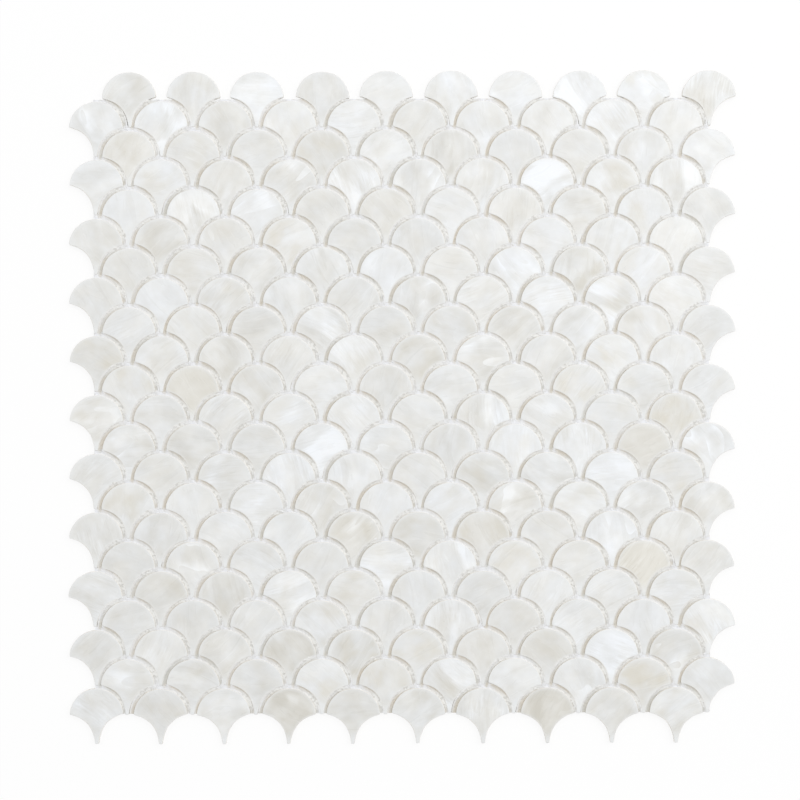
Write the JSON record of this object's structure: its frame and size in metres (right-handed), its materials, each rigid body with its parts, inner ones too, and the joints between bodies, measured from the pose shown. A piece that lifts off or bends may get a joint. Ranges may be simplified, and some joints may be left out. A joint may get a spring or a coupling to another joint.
{
  "type": "fish scale mosaic tile sheet",
  "caption": "Flat mosaic sheet of mother-of-pearl fish scale tiles in staggered rows with open joints, bonded to a backing net, with edges that interlock with the next sheets.",
  "frame": {"origin": "middle of the sheet's outline, on the underside of the backing net", "axes": "+X along the rows, +Y the way the domes point (up the wall), +Z out of the polished faces"},
  "size_m": [0.3058, 0.3089, 0.0025],
  "materials": {
    "shell": "polished mother-of-pearl",
    "net": "matte coated glass-fibre"
  },
  "bodies": {
    "root": {"net_warp": "net", "net_weft": "net", "scale_row_01": "shell", "scale_row_02": "shell", "scale_row_03": "shell", "scale_row_04": "shell", "scale_row_05": "shell", "scale_row_06": "shell", "scale_row_07": "shell", "scale_row_08": "shell", "scale_row_09": "shell", "scale_row_10": "shell", "scale_row_11": "shell", "scale_row_12": "shell", "scale_row_13": "shell", "scale_row_14": "shell", "scale_row_15": "shell", "scale_row_16": "shell", "scale_row_17": "shell", "scale_row_18": "shell", "scale_row_19": "shell", "scale_row_20": "shell", "scale_row_21": "shell", "scale_row_22": "shell"}
  },
  "joints": []
}
